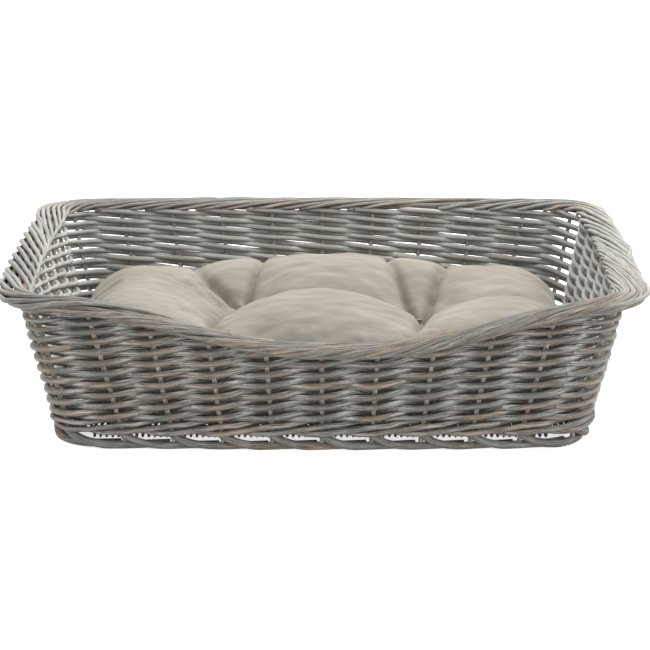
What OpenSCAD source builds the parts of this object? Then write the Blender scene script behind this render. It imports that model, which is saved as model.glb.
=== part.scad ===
// Wicker pet bed basket with a loose, tufted cushion.
// The origin is the middle of the footprint on the ground. +X runs along the length,
// the low entrance faces -Y and +Z is up. All sizes are in millimetres.

/* [Basket] */
// Length over the rolled rim
basket_length = 800; // [760:5:840]
// Width that the rolled rim would have if the front did not drop; it is about 10 less as built
basket_width = 608; // [590:5:630]
// Height of the rim at the back and the sides
basket_height = 205; // [204:1:220]
// How much shorter and narrower each side of the stake line is at the ground than at the rim
wall_flare = 42; // [38:1:48]
// Radius of the stake line's corners at the ground
foot_corner_radius = 58; // [50:1:62]
// Radius of the stake line's corners at the rim
rim_corner_radius = 46; // [42:1:56]
// Angle through which each half of a short side curves
end_turn = 2.8; // [2.4:0.1:4]
// Angle through which each half of a long side curves
long_turn = 3.1; // [2.8:0.1:4]

/* [Entrance] */
// How far the rim drops in the middle of the front
entrance_depth = 66; // [50:1:70]
// How far to the right of the basket's middle the lowest point lies
entrance_x = 22; // [0:1:22]
// Half length of the level stretch of the dropped rim
entrance_flat = 25; // [23:1:30]
// Length over which the rim climbs back up, on each side
entrance_climb = 338; // [320:1:340]

/* [Rods] */
// Diameter of the upright stakes
stake_d = 6; // [5:0.5:6.5]
// Diameter of the weavers in the walls
weaver_d = 6.5; // [5:0.5:7]
// Diameter of the heavier weavers in the two wale rounds
wale_d = 7; // [6:0.5:7.5]
// Diameter of the rods of the foot border
foot_d = 10; // [9:0.5:11]
// Diameter of the sticks inside the base
base_stick_d = 9; // [8:0.5:10]
// Diameter of the three rolls of the rim
roll_d = 14; // [12:0.5:14]

/* [Weave] */
// Stakes along the front, and as many along the back
long_stakes = 9; // [7:2:11]
// Stakes along each short side
end_stakes = 6; // [4:1:7]
// Height of the middle of the lower wale round
first_wale_z = 23.5; // [23.5:0.5:24.5]
// Distance between the two wale rounds
wale_pitch = 10.5; // [9.5:0.5:11]
// Height of the lowest open round of weaving
first_open_z = 45.5; // [44:0.5:47]
// Distance between the open rounds of weaving
open_pitch = 14.4; // [13:0.1:14.6]
// Height of the lowest packed round of weaving
first_packed_z = 146; // [143:0.5:147]
// Distance between the packed rounds of weaving
packed_pitch = 12.2; // [10:0.1:12.2]

/* [Base] */
// Distance between neighbouring base sticks
base_stick_pitch = 52; // [40:1:52]
// Underside of the woven base
base_z = 12; // [11:0.5:13]
// Thickness of the woven base
base_thickness = 14; // [13:0.5:14]

/* [Cushion] */
// Length of the cushion at its seam
cushion_length = 642; // [600:2:644]
// Width of the cushion at its seam
cushion_width = 450; // [400:5:450]
// Thickness of the cushion
cushion_thickness = 118; // [90:1:120]
// Height of the seam above the underside of the cushion
seam_rise = 46; // [40:1:55]
// Corner radius of the cushion at its seam
cushion_corner = 90; // [80:1:110]
// How far the rounded edge reaches in at the top
top_round = 75; // [60:1:80]
// How far the rounded edge reaches in at the bottom
bottom_round = 32; // [26:1:40]
// Thickness of the velour cover
cover_t = 2; // [1.5:0.25:3]
// Distance of each tuft from the middle
tuft_x = 127; // [100:1:150]
// Depth of the hollow that a tuft pulls into the top
tuft_depth = 44; // [20:1:45]

/* [Hidden] */

// Colours
willow = "#8f8c82";
pale_willow = "#a9a69c";
brown_willow = "#8a8071";
velour = "#b8afa4";
wadding = "#efece6";
thread = "#a3998c";

// Clearances
rod_gap = 0.6;       // between the butted ends of rods
weave_gap = 0.55;    // between a stake and the weavers on both sides of it, level
bore_gap = 0.3;      // round each base stick in the woven base
part_gap = 0.3;      // between pieces of the cushion
cushion_gap = 0.5;   // between the cushion and the woven base
end_cover = 6;       // from the end of a base stick to the end of the woven base
far = 1000;          // longer than anything in the model
base_sticks = 9;     // sticks along the base
foot_flat = 1.1;     // planed off the underside of the foot border
thread_d = 3;        // thread that ties a tuft down
knot = [8, 2];       // diameter and thickness of the knot on a tuft
knot_sink = 1;       // length of the thread inside the knot
thread_hole_d = 4;   // hole for the thread through the filling and the cover
tuft_floor_r = 9;    // radius of the bottom of the hollow at a tuft
tuft_slope = 1.3;    // how much wider the hollow gets for each millimetre up
tuft_over = 5;       // height of the hollow's cutter above the cushion's top
swept_trim = 0.002;  // share of a swept stretch of rim that stays free at each end
slice_t = 0.1;       // thickness of the slices that the cushion's form is drawn round

// Where the rolls of the rim lie: [distance outside the stake line, distance below the rim]
outer_roll = [24, 12];
top_roll = [8, 7];
inner_roll = [-8, 9];
rim_overhang = outer_roll[0] + roll_d / 2;
stake_end_drop = 18;  // top of a stake below the rim
row_end_drop = 26;    // a round of weaving ends where the rim is less than this above it

// The stake line is an oval of eight tangent arcs, given as [half length, half width, corner radius].
// It is straight from the ground to the rim along every stake, so each level mixes the two.
rim_line = [basket_length / 2 - rim_overhang, basket_width / 2 - rim_overhang, rim_corner_radius];
foot_line = [rim_line[0] - wall_flare, rim_line[1] - wall_flare, foot_corner_radius];
function line_at(z) = foot_line + (rim_line - foot_line) * z / basket_height;
function widened(line, by) = line + [by, by, by];

// Distance from a corner's centre to the centre of the end arc, and to that of the long arc
span = sin(long_turn) * sin(end_turn) - (1 - cos(end_turn)) * (1 - cos(long_turn));
function end_reach(line) = ((line[1] - line[2]) * sin(long_turn)
    - (line[0] - line[2]) * (1 - cos(long_turn))) / span;
function long_reach(line) = ((line[0] - line[2]) * sin(end_turn)
    - (line[1] - line[2]) * (1 - cos(end_turn))) / span;

// Centre and radius of the arc that faces a direction, and the point of the line that faces it
function facing(angle) = acos(abs(cos(angle)));
function arc_radius(line, angle) = line[2] + (facing(angle) < end_turn ? end_reach(line)
    : facing(angle) > 90 - long_turn ? long_reach(line) : 0);
function arc_centre(line, angle) =
    facing(angle) < end_turn ? [sign(cos(angle)) * (line[0] - arc_radius(line, angle)), 0]
    : facing(angle) > 90 - long_turn ? [0, sign(sin(angle)) * (line[1] - arc_radius(line, angle))]
    : [sign(cos(angle)) * long_reach(line) * sin(long_turn),
       sign(sin(angle)) * end_reach(line) * sin(end_turn)];
function own_point(line, angle) =
    arc_centre(line, angle) + arc_radius(line, angle) * [cos(angle), sin(angle)];

// The rim drops in the middle of the front
function climbed(x) = min(1, max(0, (abs(x - entrance_x) - entrance_flat) / entrance_climb));
function front_rim_z(x) = basket_height - entrance_depth * (1 + cos(180 * climbed(x))) / 2;
function rim_z(angle) = sin(angle) < 0 ? front_rim_z(own_point(rim_line, angle).x) : basket_height;

// The dropped front leans out less than the back, so the line's middle lies this far from the
// origin, which is the middle of the whole basket
front_reach = max([for (angle = [200 : 340])
    -own_point(widened(line_at(rim_z(angle)), rim_overhang), angle).y]);
middle_y = (front_reach - basket_width / 2) / 2;
function line_point(line, angle) = own_point(line, angle) + [0, middle_y];
function wall_point(angle, z) = let (p = line_point(line_at(z), angle)) [p.x, p.y, z];
function rim_point(angle, out, drop) =
    let (z = rim_z(angle), p = line_point(widened(line_at(z), out), angle)) [p.x, p.y, z - drop];

// Where a round that meets the dropped rim ends, as a turn away from the front's middle on a side
furthest_end = 60;
function climb_to(z) = entrance_flat
    + entrance_climb * acos(min(1, max(-1, 2 * (basket_height - z) / entrance_depth - 1))) / 180;
function turn_at(x) =
    let (reach = long_reach(rim_line), long_radius = reach + rim_corner_radius)
    x < long_radius * sin(long_turn) ? asin(x / long_radius)
    : asin(min(1, (x - reach * sin(long_turn)) / rim_corner_radius));
function row_end(z, side) = z + row_end_drop > basket_height ? furthest_end
    : min(furthest_end, turn_at(climb_to(z + row_end_drop) + side * entrance_x));
function is_full(z) = z + row_end_drop < basket_height - entrance_depth;

// Directions that the stakes face
front = 270;
back = 90;
middle_line = line_at(basket_height / 2);
post = own_point(middle_line, 45);
long_step = 2 * asin(post.x / arc_radius(middle_line, back)) / (long_stakes + 1);
end_step = 2 * asin(post.y / arc_radius(middle_line, 0)) / (end_stakes + 1);
function fan(count, step) = [for (i = [0 : count - 1]) (i - (count - 1) / 2) * step];

stake_foot_z = foot_d;
base_top = base_z + base_thickness;
foot_z = foot_d / 2 - foot_flat;
cushion_z = base_top + cushion_gap;
seam_z = cushion_z + seam_rise;

// ---- Shared shapes ----

// A straight rod between two points
module straight_rod(from, to, d) {
    run = to - from;
    translate(from)
        rotate([0, acos(run.z / norm(run)), atan2(run.y, run.x)])
            cylinder(h = norm(run), d = d, $fn = 24);
}

// A rod bent along the one arc of the line that lies between two directions
module bent_rod(line, z, from, to, d) {
    middle = (from + to) / 2;
    radius = arc_radius(line, middle);
    trim = rod_gap / radius * 90 / PI;
    translate([arc_centre(line, middle).x, arc_centre(line, middle).y + middle_y, z])
        rotate([0, 0, from + trim])
            rotate_extrude(angle = to - from - 2 * trim, $fn = radius > 500 ? 720 : 120)
                translate([radius, 0])
                    circle(d = d, $fn = 24);
}

// A level ring of rods, one to each arc
module ring(line, z, d) {
    for (middle = [0, 180]) bent_rod(line, z, middle - end_turn, middle + end_turn, d);
    for (middle = [front, back]) bent_rod(line, z, middle - long_turn, middle + long_turn, d);
    for (quarter = [0 : 90 : 270])
        bent_rod(line, z, quarter + corner_from(quarter), quarter + 90 - corner_from(quarter + 90), d);
}
function corner_from(quarter) = quarter % 180 == 0 ? end_turn : long_turn;

// A level ring that is open at the front, with its ends a given turn from the front's middle
module open_ring(line, z, d, left_turn, right_turn) {
    for (middle = [0, 180]) bent_rod(line, z, middle - end_turn, middle + end_turn, d);
    bent_rod(line, z, back - long_turn, back + long_turn, d);
    bent_rod(line, z, end_turn, 90 - long_turn, d);
    bent_rod(line, z, 90 + long_turn, 180 - end_turn, d);
    bent_rod(line, z, 180 + end_turn, front - max(left_turn, long_turn), d);
    bent_rod(line, z, front + max(right_turn, long_turn), 360 - end_turn, d);
    if (left_turn < long_turn) bent_rod(line, z, front - long_turn, front - left_turn, d);
    if (right_turn < long_turn) bent_rod(line, z, front + right_turn, front + long_turn, d);
}

// One round of weaving: a weaver outside the stakes and a weaver inside them
module round_of_weaving(z, d) {
    for (side = [-1, 1]) {
        line = widened(line_at(z), side * (stake_d / 2 + d / 2 + weave_gap));
        if (is_full(z)) ring(line, z, d);
        else open_ring(line, z, d, row_end(z, -1), row_end(z, 1));
    }
}
module open_round(number) {
    color(willow) round_of_weaving(first_open_z + open_pitch * (number - 1), weaver_d);
}
module packed_round(number) {
    color(willow) round_of_weaving(first_packed_z + packed_pitch * (number - 1), weaver_d);
}

// A stretch of a rim roll that follows the dropped rim, swept round with sides
module swept_roll(from, to, place, d) {
    sides = 10;
    rings = 5;
    trim = (to - from) * swept_trim;
    angles = [for (i = [0 : rings - 1]) from + trim + (to - from - 2 * trim) * i / (rings - 1)];
    points = [for (a = angles, k = [0 : sides - 1])
        rim_point(a, place[0] + d / 2 * cos(360 * k / sides), place[1] - d / 2 * sin(360 * k / sides))];
    faces = concat(
        [[for (k = [sides - 1 : -1 : 0]) k]],
        [for (i = [0 : rings - 2], k = [0 : sides - 1]) let (n = (k + 1) % sides)
            [i * sides + k, i * sides + n, (i + 1) * sides + n, (i + 1) * sides + k]],
        [[for (k = [0 : sides - 1]) (rings - 1) * sides + k]]);
    polyhedron(points, faces);
}

// A roll of the rim: bent rods round the back and the sides, swept stretches round the front
module rim_roll(place, d) {
    line = widened(rim_line, place[0]);
    z = basket_height - place[1];
    for (middle = [0, 180]) bent_rod(line, z, middle - end_turn, middle + end_turn, d);
    bent_rod(line, z, back - long_turn, back + long_turn, d);
    for (corner = [[end_turn, 45], [45, 90 - long_turn], [90 + long_turn, 135], [135, 180 - end_turn]])
        bent_rod(line, z, corner[0], corner[1], d);
    for (side = [-1, 1]) {
        stops = [long_turn * 0.2, long_turn * 0.6, long_turn, 45, 90 - end_turn];
        for (i = [0 : 3])
            swept_roll(front + min(side * stops[i], side * stops[i + 1]),
                front + max(side * stops[i], side * stops[i + 1]), place, d);
    }
    swept_roll(front - long_turn * 0.2, front + long_turn * 0.2, place, d);
}

// ---- Base ----

base_line = widened(line_at(base_z), -(stake_d / 2 + wale_d + 2 * weave_gap));

function stick_y(number) = middle_y + (number - (base_sticks + 1) / 2) * base_stick_pitch;
function stick_half_length(y) = base_line[0] - end_cover
    - (abs(y - middle_y) > base_line[1] - foot_corner_radius ? foot_corner_radius / 2 : 0);

module base_stick(number) {
    y = stick_y(number);
    color(brown_willow)
        translate([-stick_half_length(y), y, base_z + base_thickness / 2])
            rotate([0, 90, 0])
                cylinder(h = 2 * stick_half_length(y), d = base_stick_d, $fn = 32);
}

module base_weave() {
    corner_span = 90 - end_turn - long_turn;
    outline = [for (quarter = [0 : 90 : 270]) each concat(
        [for (share = [-1 : 0.25 : 0.75]) quarter + corner_from(quarter) * share],
        [for (share = [0 : 0.125 : 0.875]) quarter + corner_from(quarter) + corner_span * share])];
    color(brown_willow)
        difference() {
            translate([0, 0, base_z])
                linear_extrude(base_thickness)
                    polygon([for (angle = outline) line_point(base_line, angle)]);
            for (number = [1 : base_sticks])
                translate([-far / 2, stick_y(number), base_z + base_thickness / 2])
                    rotate([0, 90, 0])
                        cylinder(h = far, d = base_stick_d + 2 * bore_gap, $fn = 32);
        }
}

// The foot border stands on the ground on a planed flat
module foot_border() {
    color(pale_willow)
        difference() {
            ring(line_at(foot_z), foot_z, foot_d);
            translate([-far / 2, -far / 2, -foot_d]) cube([far, far, foot_d]);
        }
}

// ---- Stakes ----

module stake(angle) {
    straight_rod(wall_point(angle, stake_foot_z), wall_point(angle, rim_z(angle) - stake_end_drop), stake_d);
}
module front_stakes() { color(pale_willow) for (a = fan(long_stakes, long_step)) stake(front + a); }
module back_stakes() { color(pale_willow) for (a = fan(long_stakes, long_step)) stake(back + a); }
module left_stakes() { color(pale_willow) for (a = fan(end_stakes, end_step)) stake(180 + a); }
module right_stakes() { color(pale_willow) for (a = fan(end_stakes, end_step)) stake(a); }
module front_left_post() { color(pale_willow) stake(225); }
module front_right_post() { color(pale_willow) stake(315); }
module back_left_post() { color(pale_willow) stake(135); }
module back_right_post() { color(pale_willow) stake(45); }

// ---- Weaving and rim ----

module lower_wale() { color(willow) round_of_weaving(first_wale_z, wale_d); }
module upper_wale() { color(willow) round_of_weaving(first_wale_z + wale_pitch, wale_d); }

module rim_outer_roll() { color(pale_willow) rim_roll(outer_roll, roll_d); }
module rim_top_roll() { color(pale_willow) rim_roll(top_roll, roll_d); }
module rim_inner_roll() { color(pale_willow) rim_roll(inner_roll, roll_d); }

// ---- Cushion ----

// One level slice of the cushion, pulled in from the seam
module cushion_slice(z, inset) {
    half = [cushion_length / 2 - cushion_corner, cushion_width / 2 - cushion_corner];
    corner = cushion_corner - inset;
    translate([0, middle_y, z])
        linear_extrude(slice_t)
            polygon([for (quarter = [0 : 3], step = [0 : 8])
                let (a = quarter * 90 + step * 11.25)
                [(quarter == 0 || quarter == 3 ? 1 : -1) * half.x + corner * cos(a),
                 (quarter < 2 ? 1 : -1) * half.y + corner * sin(a)]]);
}

// The whole cushion's rounded form, shrunk by a given amount on every side
module cushion_form(shrink) {
    rise = cushion_thickness - seam_rise - shrink;
    hull() {
        for (t = [0 : 18 : 90])
            cushion_slice(seam_z + (rise - slice_t) * sin(t),
                shrink + (top_round - shrink) * (1 - cos(t)));
        for (t = [30 : 30 : 90])
            cushion_slice(seam_z - (seam_rise - shrink) * sin(t),
                shrink + (bottom_round - shrink) * (1 - cos(t)));
    }
}

// The hollows that the tufts pull into the top, grown by a given amount
module tuft_hollows(grow) {
    rise = tuft_depth + grow + tuft_over;
    for (side = [-1, 1])
        translate([side * tuft_x, middle_y, cushion_z + cushion_thickness - tuft_depth - grow])
            cylinder(h = rise, r1 = tuft_floor_r + grow,
                r2 = tuft_floor_r + grow + rise * tuft_slope, $fn = 40);
}

// Holes for the tuft threads
module thread_holes() {
    for (side = [-1, 1])
        translate([side * tuft_x, middle_y, cushion_z + cover_t + part_gap])
            cylinder(h = cushion_thickness, d = thread_hole_d, $fn = 24);
}

module cushion_cover_top() {
    color(velour)
        difference() {
            cushion_form(0);
            tuft_hollows(0);
            difference() {
                cushion_form(cover_t);
                tuft_hollows(cover_t);
            }
            thread_holes();
            translate([-far / 2, -far / 2, seam_z - far + part_gap / 2]) cube(far);
        }
}

module cushion_cover_base() {
    color(velour)
        difference() {
            cushion_form(0);
            cushion_form(cover_t);
            translate([-far / 2, -far / 2, seam_z - part_gap / 2]) cube(far);
        }
}

module cushion_filling() {
    color(wadding)
        difference() {
            cushion_form(cover_t + part_gap);
            tuft_hollows(cover_t + part_gap);
            thread_holes();
        }
}

// A stitch of thread that ties the top down, with a knot on top
module tuft(side) {
    floor_z = cushion_z + cushion_thickness - tuft_depth;
    thread_z = cushion_z + cover_t + 2 * part_gap;
    color(thread)
        translate([side * tuft_x, middle_y, 0]) {
            translate([0, 0, thread_z])
                cylinder(h = floor_z + knot_sink - thread_z, d = thread_d, $fn = 24);
            translate([0, 0, floor_z + part_gap]) cylinder(h = knot[1], d = knot[0], $fn = 24);
        }
}
module cushion_tuft_left() { tuft(-1); }
module cushion_tuft_right() { tuft(1); }

base_stick(1);  // base_stick_1
base_stick(2);  // base_stick_2
base_stick(3);  // base_stick_3
base_stick(4);  // base_stick_4
base_stick(5);  // base_stick_5
base_stick(6);  // base_stick_6
base_stick(7);  // base_stick_7
base_stick(8);  // base_stick_8
base_stick(9);  // base_stick_9
base_weave();
foot_border();
front_stakes();
back_stakes();
left_stakes();
right_stakes();
front_left_post();
front_right_post();
back_left_post();
back_right_post();
lower_wale();
upper_wale();
open_round(1);  // open_round_1
open_round(2);  // open_round_2
open_round(3);  // open_round_3
open_round(4);  // open_round_4
open_round(5);  // open_round_5
open_round(6);  // open_round_6
open_round(7);  // open_round_7
packed_round(1);  // packed_round_1
packed_round(2);  // packed_round_2
packed_round(3);  // packed_round_3
packed_round(4);  // packed_round_4
rim_outer_roll();
rim_top_roll();
rim_inner_roll();
cushion_cover_top();
cushion_cover_base();
cushion_filling();
cushion_tuft_left();
cushion_tuft_right();
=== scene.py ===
"""Looks for the wicker pet bed basket: willow rods woven round the CAD frame, and its tufted cushion."""

import math

import bpy
import numpy as np
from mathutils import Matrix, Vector
from mathutils.geometry import delaunay_2d_cdt


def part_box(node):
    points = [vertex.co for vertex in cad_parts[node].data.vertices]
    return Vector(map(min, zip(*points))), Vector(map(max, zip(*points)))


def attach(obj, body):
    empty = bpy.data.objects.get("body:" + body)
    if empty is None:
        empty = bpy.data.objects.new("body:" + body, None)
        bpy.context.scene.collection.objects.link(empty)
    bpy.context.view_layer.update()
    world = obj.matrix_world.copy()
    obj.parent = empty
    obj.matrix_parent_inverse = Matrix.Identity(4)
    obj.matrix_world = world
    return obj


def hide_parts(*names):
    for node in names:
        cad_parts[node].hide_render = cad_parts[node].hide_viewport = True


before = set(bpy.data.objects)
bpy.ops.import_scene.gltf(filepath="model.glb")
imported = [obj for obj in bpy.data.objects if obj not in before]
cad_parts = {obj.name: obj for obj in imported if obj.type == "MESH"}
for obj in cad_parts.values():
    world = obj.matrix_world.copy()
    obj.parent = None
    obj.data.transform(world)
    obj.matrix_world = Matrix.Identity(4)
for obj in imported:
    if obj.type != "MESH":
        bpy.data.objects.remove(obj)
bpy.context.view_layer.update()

MM = 0.001
TAU = 2 * math.pi

# ---------------------------------------------------------------- sizes, as in part.scad but for the dip

FLARE = 42 * MM  # how far each side of the stake line leans out over the basket's height
OVERHANG = 31 * MM  # the rolled rim, outside the stake line
END_TURN, LONG_TURN = math.radians(2.8), math.radians(3.1)  # half angles of the gently bowed sides
LONG_STAKES, END_STAKES = 9, 6
RIM_CORNER, FOOT_CORNER = 46 * MM, 58 * MM
ENTRANCE_X, ENTRANCE_FLAT, ENTRANCE_CLIMB = 22 * MM, 25 * MM, 338 * MM
ENTRANCE_DEPTH = 60 * MM  # 6 mm less than in the CAD
STAKE_R = 3 * MM

rim_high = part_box("rim_outer_roll")[1]
foot_low, foot_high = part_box("foot_border")
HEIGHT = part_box("rim_top_roll")[1].z
MIDDLE_Y = (foot_low.y + foot_high.y) / 2
RIM = np.array([rim_high.x - OVERHANG, rim_high.y - MIDDLE_Y - OVERHANG, RIM_CORNER])
FOOT = np.array([RIM[0] - FLARE, RIM[1] - FLARE, FOOT_CORNER])
LEAN = math.atan(FLARE / HEIGHT)


def level(z):
    """Half length, half width and corner radius of the stake line at a height."""
    z = np.asarray(z, float)
    return [f + (r - f) * z / HEIGHT for f, r in zip(FOOT, RIM)]


def outline(angle, line):
    """The point of a stake line that faces a direction: an oval of eight tangent arcs."""
    a, b, r = line
    c, s = np.cos(angle), np.sin(angle)
    facing = np.arccos(np.clip(np.abs(c), 0, 1))
    span = math.sin(LONG_TURN) * math.sin(END_TURN) - (1 - math.cos(END_TURN)) * (1 - math.cos(LONG_TURN))
    end = ((b - r) * math.sin(LONG_TURN) - (a - r) * (1 - math.cos(LONG_TURN))) / span
    long = ((a - r) * math.sin(END_TURN) - (b - r) * (1 - math.cos(END_TURN))) / span
    at_end, at_long = facing < END_TURN, facing > math.pi / 2 - LONG_TURN
    radius = r + np.where(at_end, end, np.where(at_long, long, 0))
    x = np.where(at_end, a - radius, np.where(at_long, 0, long * math.sin(LONG_TURN))) * np.sign(c)
    y = np.where(at_end, 0, np.where(at_long, b - radius, end * math.sin(END_TURN))) * np.sign(s)
    return x + radius * c, y + radius * s + MIDDLE_Y


def stake_angles():
    """Directions that the stakes face, counter-clockwise from the front left corner post."""
    middle = level(HEIGHT / 2)
    corner = outline(np.array(math.pi / 4), middle)
    long_r = radius_at(middle, math.pi / 2)
    end_r = radius_at(middle, 0)
    long_step = 2 * math.asin(float(corner[0]) / long_r) / (LONG_STAKES + 1)
    end_step = 2 * math.asin((float(corner[1]) - MIDDLE_Y) / end_r) / (END_STAKES + 1)
    turns = []
    for quarter, count, step in ((3, LONG_STAKES, long_step), (4, END_STAKES, end_step),
                                 (5, LONG_STAKES, long_step), (6, END_STAKES, end_step)):
        turns.append((quarter - 0.5) * math.pi / 2)
        turns += [quarter * math.pi / 2 + (i - (count - 1) / 2) * step for i in range(count)]
    return np.array(turns + [turns[0] + TAU])


def radius_at(line, angle):
    """Radius of the arc that faces a direction, from two close points of it."""
    t = 1e-3
    x, y = outline(np.array([angle - t, angle + t]), line)
    return math.hypot(x[1] - x[0], y[1] - y[0]) / (2 * math.sin(t))


# Stakes are numbered 0 to 33 round the basket, and u is a place between them: u = 3.5 is midway
# between stakes 3 and 4. Its direction comes from the length of the stake line at mid height.
ANGLES = stake_angles()
STAKES = len(ANGLES) - 1
_fine = np.unique(np.concatenate([
    np.linspace(ANGLES[0], ANGLES[-1], 1440),
    *[q * math.pi / 2 + np.linspace(-END_TURN, END_TURN, 241) for q in (3, 4, 5, 6)],
    ANGLES]))
_fine = _fine[(_fine >= ANGLES[0]) & (_fine <= ANGLES[-1])]
_x, _y = outline(_fine, level(HEIGHT / 2))
_run = np.concatenate([[0], np.cumsum(np.hypot(np.diff(_x), np.diff(_y)))])
_stake_run = np.interp(ANGLES, _fine, _run)
SPACING = _run[-1] / STAKES


def direction(u):
    """The direction that the place u faces."""
    u = np.mod(np.asarray(u, float), STAKES)
    return np.interp(np.interp(u, np.arange(STAKES + 1), _stake_run), _run, _fine)


def rim_height(u):
    """Height of the rim's top, which dips in the front."""
    angle = direction(u)
    x, _ = outline(angle, RIM)
    climbed = np.clip((np.abs(x - ENTRANCE_X) - ENTRANCE_FLAT) / ENTRANCE_CLIMB, 0, 1)
    dip = ENTRANCE_DEPTH * (1 + np.cos(math.pi * climbed)) / 2
    return HEIGHT - np.where(np.sin(angle) < 0, dip, 0)


def on_wall(u, z, out):
    """A point of the leaning wall, and the way out of the wall there."""
    angle = direction(u)
    across = np.asarray(out, float) * math.cos(LEAN)
    line = [v + across for v in level(z)]
    x, y = outline(angle, line)
    point = np.stack([x, y, z - np.asarray(out) * math.sin(LEAN)], -1)
    way = np.stack([np.cos(angle) * math.cos(LEAN), np.sin(angle) * math.cos(LEAN),
                    np.full_like(angle, -math.sin(LEAN))], -1)
    return point, way


# ---------------------------------------------------------------- rods

class Rods:
    """Collects rods as tubes in one mesh, with the attributes that the willow material reads."""

    def __init__(self, seed):
        self.draw = np.random.default_rng(seed)
        self.parts = []
        self.faces = []
        self.count = 0

    def add(self, path, way, radius, wash=0.0, sides=10, tone=None, start=None, painted_light_and_shade=0.0):
        """One rod along a path, where way points out of the wall. wash is how much whitewash is left
        on it; a positive paleness is painted light, a paler tint, and below 0 it is painted shade."""
        n = len(path)
        radius = np.broadcast_to(np.asarray(radius, float), (n,))
        along = np.gradient(path, axis=0)
        along /= np.linalg.norm(along, axis=1, keepdims=True)
        out = way - (way * along).sum(1, keepdims=True) * along
        out /= np.linalg.norm(out, axis=1, keepdims=True)
        up = np.cross(out, along)
        turn = np.arange(sides) * TAU / sides
        c, s = np.cos(turn), np.sin(turn)
        ring = out[:, None] * c[None, :, None] + up[:, None] * s[None, :, None]
        co = path[:, None] + ring * radius[:, None, None]
        run = np.concatenate([[0], np.cumsum(np.linalg.norm(np.diff(path, axis=0), axis=1))])
        if start is None:
            start = self.draw.uniform(0, 40, 3)
        grain = np.empty((n, sides, 3))
        grain[..., 0] = run[:, None] + start[0]
        grain[..., 1] = radius[:, None] * c + start[1]
        grain[..., 2] = radius[:, None] * s + start[2]
        tone = self.draw.uniform() if tone is None else tone
        tone = np.repeat(np.broadcast_to(np.asarray(tone, float), (n,)), sides)
        if np.ndim(wash) == 1:
            wash = wash[:, None]
        wash = np.broadcast_to(np.asarray(wash, float), (n, sides))
        painted_light_and_shade = np.repeat(np.broadcast_to(np.asarray(painted_light_and_shade, float), (n,)), sides)
        self.parts.append((co.reshape(-1, 3), grain.reshape(-1, 3), tone, wash.reshape(-1), painted_light_and_shade))
        i, k = np.meshgrid(np.arange(n - 1), np.arange(sides), indexing="ij")
        nxt = (k + 1) % sides
        base = self.count
        quads = np.stack([i * sides + k, (i + 1) * sides + k, (i + 1) * sides + nxt, i * sides + nxt], -1)
        self.faces += (quads.reshape(-1, 4) + base).tolist()
        self.faces.append([base + j for j in range(sides)])
        self.faces.append([base + (n - 1) * sides + j for j in reversed(range(sides))])
        self.count += n * sides

    def build(self, name, material, nodes):
        """Makes the rods one piece that stands for CAD nodes."""
        co, grain, tone, wash, painted_light_and_shade = (np.concatenate([p[i] for p in self.parts]) for i in range(5))
        mesh = bpy.data.meshes.new(name)
        mesh.from_pydata(co.tolist(), [], self.faces)
        mesh.attributes.new("grain", "FLOAT_VECTOR", "POINT").data.foreach_set("vector", grain.ravel())
        mesh.attributes.new("tone", "FLOAT", "POINT").data.foreach_set("value", tone)
        mesh.attributes.new("wash", "FLOAT", "POINT").data.foreach_set("value", wash.copy())
        mesh.attributes.new("painted_light_and_shade", "FLOAT", "POINT").data.foreach_set("value", painted_light_and_shade)
        mesh.polygons.foreach_set("use_smooth", [True] * len(mesh.polygons))
        mesh.set_sharp_from_angle(angle=math.radians(55))
        return place(name, mesh, material, nodes, "basket")


def place(name, mesh, material, nodes, body):
    """Puts a mesh in the scene as a piece that stands for CAD nodes."""
    piece = bpy.data.objects.new(name, mesh)
    bpy.context.scene.collection.objects.link(piece)
    mesh.materials.append(material)
    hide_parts(*nodes)
    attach(piece, body)
    return piece


def wander(draw, u, size, waves=(1.3, 3.7, 8.1)):
    """A smooth random drift along u, of about the given size."""
    total = np.zeros_like(u)
    for wave in waves:
        total += np.sin(u * wave * TAU / 10 + draw.uniform(0, TAU)) * draw.uniform(0.3, 1)
    return total * size / 2


# ---------------------------------------------------------------- materials

def colour(r, g, b):
    """A colour given as 0 to 255 in sRGB, in the linear values that nodes use."""
    def one(v):
        v /= 255
        return v / 12.92 if v <= 0.04045 else ((v + 0.055) / 1.055) ** 2.4
    return (one(r), one(g), one(b), 1)


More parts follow.
